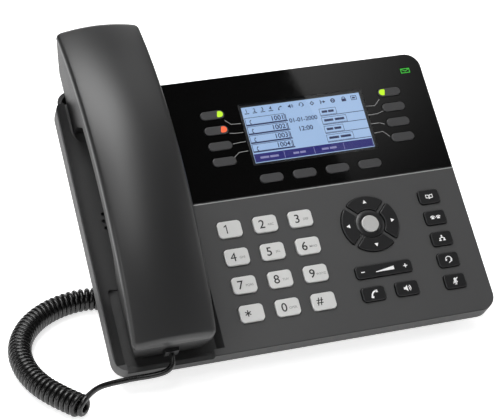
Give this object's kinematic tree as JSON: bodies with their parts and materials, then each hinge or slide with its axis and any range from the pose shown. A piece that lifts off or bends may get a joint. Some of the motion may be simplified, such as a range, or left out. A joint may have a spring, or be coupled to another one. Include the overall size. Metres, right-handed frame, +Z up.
{
  "type": "desk ip phone",
  "caption": "Desk telephone with a sloping face, corded handset in a side cradle, graphic display, dial keys, navigation ring and a clip-on desk stand.",
  "frame": {"origin": "centre of the bounding box of the phone without its cord, at desk level", "axes": "+X to the right of the user, +Y away from the user, +Z up"},
  "size_m": [0.2802, 0.1688, 0.1587],
  "materials": {
    "capsules": "black capsule",
    "circuit_board": "solder mask",
    "clear_plug": "clear polycarbonate plug",
    "cord": "glossy black PVC",
    "dial_keys": "silver painted keys",
    "display_lens": "clear polycarbonate window",
    "feet": "matt rubber",
    "function_keys": "dark keys",
    "glossy_panel": "polished black polycarbonate",
    "handset": "satin charcoal ABS",
    "hook_switch": "black acetal",
    "lamp": "light pipe",
    "lcd_module": "backlit display",
    "line_keys": "translucent grey keys",
    "lower_housing": "matt black ABS",
    "nav_keys": "dark key segments",
    "screws": "zinc plated",
    "silicone": "silicone key mat",
    "sockets": "black nylon",
    "stand": "matt black ABS",
    "upper_housing": "fine matt texture, dark grey ABS"
  },
  "bodies": {
    "base": {"base_plug": "clear_plug", "cord_base_tail": "cord", "cord_coil": "cord", "cord_handset_tail": "cord", "display_lens": "display_lens", "fascia_panel": "glossy_panel", "handsfree_speaker": "capsules", "housing_screws": "screws", "keypad_mat": "silicone", "lcd_module": "lcd_module", "lower_housing": "lower_housing", "main_board": "circuit_board", "message_lamp": "lamp", "rubber_feet": "feet", "sockets": "sockets", "stand": "stand", "upper_housing": "upper_housing"},
    "handset": {"handset_outer_shell": "handset", "handset_inner_shell": "handset", "receiver": "capsules", "microphone": "capsules", "handset_plug": "clear_plug"},
    "hook": {"hook_switch": "hook_switch"},
    "volume_rocker": {"volume_rocker": "function_keys"},
    "dial_key_0": {"dial_key_0": "dial_keys"},
    "dial_key_1": {"dial_key_1": "dial_keys"},
    "dial_key_2": {"dial_key_2": "dial_keys"},
    "dial_key_3": {"dial_key_3": "dial_keys"},
    "dial_key_4": {"dial_key_4": "dial_keys"},
    "dial_key_5": {"dial_key_5": "dial_keys"},
    "dial_key_6": {"dial_key_6": "dial_keys"},
    "dial_key_7": {"dial_key_7": "dial_keys"},
    "dial_key_8": {"dial_key_8": "dial_keys"},
    "dial_key_9": {"dial_key_9": "dial_keys"},
    "dial_key_hash": {"dial_key_hash": "dial_keys"},
    "dial_key_star": {"dial_key_star": "dial_keys"},
    "ok_key": {"ok_key": "dial_keys"},
    "line_key_left_1": {"line_key_left_1": "line_keys"},
    "line_key_left_2": {"line_key_left_2": "line_keys"},
    "line_key_left_3": {"line_key_left_3": "line_keys"},
    "line_key_left_4": {"line_key_left_4": "line_keys"},
    "line_key_right_1": {"line_key_right_1": "line_keys"},
    "line_key_right_2": {"line_key_right_2": "line_keys"},
    "line_key_right_3": {"line_key_right_3": "line_keys"},
    "line_key_right_4": {"line_key_right_4": "line_keys"},
    "soft_key_1": {"soft_key_1": "line_keys"},
    "soft_key_2": {"soft_key_2": "line_keys"},
    "soft_key_3": {"soft_key_3": "line_keys"},
    "soft_key_4": {"soft_key_4": "line_keys"},
    "nav_key_down": {"nav_key_down": "nav_keys"},
    "nav_key_left": {"nav_key_left": "nav_keys"},
    "nav_key_right": {"nav_key_right": "nav_keys"},
    "nav_key_up": {"nav_key_up": "nav_keys"},
    "send_key": {"send_key": "function_keys"},
    "speaker_key": {"speaker_key": "function_keys"},
    "phonebook_key": {"phonebook_key": "function_keys"},
    "transfer_key": {"transfer_key": "function_keys"},
    "conference_key": {"conference_key": "function_keys"},
    "headset_key": {"headset_key": "function_keys"},
    "mute_key": {"mute_key": "function_keys"}
  },
  "joints": [
    {"name": "dial_key_0_press", "type": "slide", "parent": "base", "child": "dial_key_0", "axis": [0, 0.6347, -0.7727], "range_m": [0, 0.001], "stiffness_N_per_m": 400, "springref_m": -0.001},
    {"name": "dial_key_1_press", "type": "slide", "parent": "base", "child": "dial_key_1", "axis": [0, 0.6347, -0.7727], "range_m": [0, 0.001], "stiffness_N_per_m": 400, "springref_m": -0.001},
    {"name": "dial_key_2_press", "type": "slide", "parent": "base", "child": "dial_key_2", "axis": [0, 0.6347, -0.7727], "range_m": [0, 0.001], "stiffness_N_per_m": 400, "springref_m": -0.001},
    {"name": "dial_key_3_press", "type": "slide", "parent": "base", "child": "dial_key_3", "axis": [0, 0.6347, -0.7727], "range_m": [0, 0.001], "stiffness_N_per_m": 400, "springref_m": -0.001},
    {"name": "dial_key_4_press", "type": "slide", "parent": "base", "child": "dial_key_4", "axis": [0, 0.6347, -0.7727], "range_m": [0, 0.001], "stiffness_N_per_m": 400, "springref_m": -0.001},
    {"name": "dial_key_5_press", "type": "slide", "parent": "base", "child": "dial_key_5", "axis": [0, 0.6347, -0.7727], "range_m": [0, 0.001], "stiffness_N_per_m": 400, "springref_m": -0.001},
    {"name": "dial_key_6_press", "type": "slide", "parent": "base", "child": "dial_key_6", "axis": [0, 0.6347, -0.7727], "range_m": [0, 0.001], "stiffness_N_per_m": 400, "springref_m": -0.001},
    {"name": "dial_key_7_press", "type": "slide", "parent": "base", "child": "dial_key_7", "axis": [0, 0.6347, -0.7727], "range_m": [0, 0.001], "stiffness_N_per_m": 400, "springref_m": -0.001},
    {"name": "dial_key_8_press", "type": "slide", "parent": "base", "child": "dial_key_8", "axis": [0, 0.6347, -0.7727], "range_m": [0, 0.001], "stiffness_N_per_m": 400, "springref_m": -0.001},
    {"name": "dial_key_9_press", "type": "slide", "parent": "base", "child": "dial_key_9", "axis": [0, 0.6347, -0.7727], "range_m": [0, 0.001], "stiffness_N_per_m": 400, "springref_m": -0.001},
    {"name": "dial_key_hash_press", "type": "slide", "parent": "base", "child": "dial_key_hash", "axis": [0, 0.6347, -0.7727], "range_m": [0, 0.001], "stiffness_N_per_m": 400, "springref_m": -0.001},
    {"name": "dial_key_star_press", "type": "slide", "parent": "base", "child": "dial_key_star", "axis": [0, 0.6347, -0.7727], "range_m": [0, 0.001], "stiffness_N_per_m": 400, "springref_m": -0.001},
    {"name": "ok_key_press", "type": "slide", "parent": "base", "child": "ok_key", "axis": [0, 0.6347, -0.7727], "range_m": [0, 0.001], "stiffness_N_per_m": 400, "springref_m": -0.001},
    {"name": "line_key_left_1_press", "type": "slide", "parent": "base", "child": "line_key_left_1", "axis": [0, 0.6347, -0.7727], "range_m": [0, 0.001], "stiffness_N_per_m": 400, "springref_m": -0.001},
    {"name": "line_key_left_2_press", "type": "slide", "parent": "base", "child": "line_key_left_2", "axis": [0, 0.6347, -0.7727], "range_m": [0, 0.001], "stiffness_N_per_m": 400, "springref_m": -0.001},
    {"name": "line_key_left_3_press", "type": "slide", "parent": "base", "child": "line_key_left_3", "axis": [0, 0.6347, -0.7727], "range_m": [0, 0.001], "stiffness_N_per_m": 400, "springref_m": -0.001},
    {"name": "line_key_left_4_press", "type": "slide", "parent": "base", "child": "line_key_left_4", "axis": [0, 0.6347, -0.7727], "range_m": [0, 0.001], "stiffness_N_per_m": 400, "springref_m": -0.001},
    {"name": "line_key_right_1_press", "type": "slide", "parent": "base", "child": "line_key_right_1", "axis": [0, 0.6347, -0.7727], "range_m": [0, 0.001], "stiffness_N_per_m": 400, "springref_m": -0.001},
    {"name": "line_key_right_2_press", "type": "slide", "parent": "base", "child": "line_key_right_2", "axis": [0, 0.6347, -0.7727], "range_m": [0, 0.001], "stiffness_N_per_m": 400, "springref_m": -0.001},
    {"name": "line_key_right_3_press", "type": "slide", "parent": "base", "child": "line_key_right_3", "axis": [0, 0.6347, -0.7727], "range_m": [0, 0.001], "stiffness_N_per_m": 400, "springref_m": -0.001},
    {"name": "line_key_right_4_press", "type": "slide", "parent": "base", "child": "line_key_right_4", "axis": [0, 0.6347, -0.7727], "range_m": [0, 0.001], "stiffness_N_per_m": 400, "springref_m": -0.001},
    {"name": "soft_key_1_press", "type": "slide", "parent": "base", "child": "soft_key_1", "axis": [0, 0.6347, -0.7727], "range_m": [0, 0.001], "stiffness_N_per_m": 400, "springref_m": -0.001},
    {"name": "soft_key_2_press", "type": "slide", "parent": "base", "child": "soft_key_2", "axis": [0, 0.6347, -0.7727], "range_m": [0, 0.001], "stiffness_N_per_m": 400, "springref_m": -0.001},
    {"name": "soft_key_3_press", "type": "slide", "parent": "base", "child": "soft_key_3", "axis": [0, 0.6347, -0.7727], "range_m": [0, 0.001], "stiffness_N_per_m": 400, "springref_m": -0.001},
    {"name": "soft_key_4_press", "type": "slide", "parent": "base", "child": "soft_key_4", "axis": [0, 0.6347, -0.7727], "range_m": [0, 0.001], "stiffness_N_per_m": 400, "springref_m": -0.001},
    {"name": "nav_key_down_press", "type": "slide", "parent": "base", "child": "nav_key_down", "axis": [0, 0.6347, -0.7727], "range_m": [0, 0.001], "stiffness_N_per_m": 400, "springref_m": -0.001},
    {"name": "nav_key_left_press", "type": "slide", "parent": "base", "child": "nav_key_left", "axis": [0, 0.6347, -0.7727], "range_m": [0, 0.001], "stiffness_N_per_m": 400, "springref_m": -0.001},
    {"name": "nav_key_right_press", "type": "slide", "parent": "base", "child": "nav_key_right", "axis": [0, 0.6347, -0.7727], "range_m": [0, 0.001], "stiffness_N_per_m": 400, "springref_m": -0.001},
    {"name": "nav_key_up_press", "type": "slide", "parent": "base", "child": "nav_key_up", "axis": [0, 0.6347, -0.7727], "range_m": [0, 0.001], "stiffness_N_per_m": 400, "springref_m": -0.001},
    {"name": "send_key_press", "type": "slide", "parent": "base", "child": "send_key", "axis": [0, 0.6347, -0.7727], "range_m": [0, 0.001], "stiffness_N_per_m": 400, "springref_m": -0.001},
    {"name": "speaker_key_press", "type": "slide", "parent": "base", "child": "speaker_key", "axis": [0, 0.6347, -0.7727], "range_m": [0, 0.001], "stiffness_N_per_m": 400, "springref_m": -0.001},
    {"name": "phonebook_key_press", "type": "slide", "parent": "base", "child": "phonebook_key", "axis": [0, 0.6347, -0.7727], "range_m": [0, 0.001], "stiffness_N_per_m": 400, "springref_m": -0.001},
    {"name": "transfer_key_press", "type": "slide", "parent": "base", "child": "transfer_key", "axis": [0, 0.6347, -0.7727], "range_m": [0, 0.001], "stiffness_N_per_m": 400, "springref_m": -0.001},
    {"name": "conference_key_press", "type": "slide", "parent": "base", "child": "conference_key", "axis": [0, 0.6347, -0.7727], "range_m": [0, 0.001], "stiffness_N_per_m": 400, "springref_m": -0.001},
    {"name": "headset_key_press", "type": "slide", "parent": "base", "child": "headset_key", "axis": [0, 0.6347, -0.7727], "range_m": [0, 0.001], "stiffness_N_per_m": 400, "springref_m": -0.001},
    {"name": "mute_key_press", "type": "slide", "parent": "base", "child": "mute_key", "axis": [0, 0.6347, -0.7727], "range_m": [0, 0.001], "stiffness_N_per_m": 400, "springref_m": -0.001},
    {"name": "volume_rocker_tilt", "type": "hinge", "parent": "base", "child": "volume_rocker", "pos_m": [0.0515, -0.04125, 0.03494], "axis": [0, 0.7727, 0.6347], "range_deg": [-2.5, 2.5], "stiffness_Nm_per_rad": 0.05},
    {"name": "handset_lift", "type": "slide", "parent": "base", "child": "handset", "axis": [0, -0.6347, 0.7727], "range_m": [0, 0.06]},
    {"name": "hook_rise", "type": "slide", "parent": "base", "child": "hook", "axis": [0, -0.6347, 0.7727], "range_m": [0, 0.004]}
  ],
  "couplings": [
    {"joint": "hook_rise", "follows": "handset_lift", "ratio": 0.066667}
  ]
}
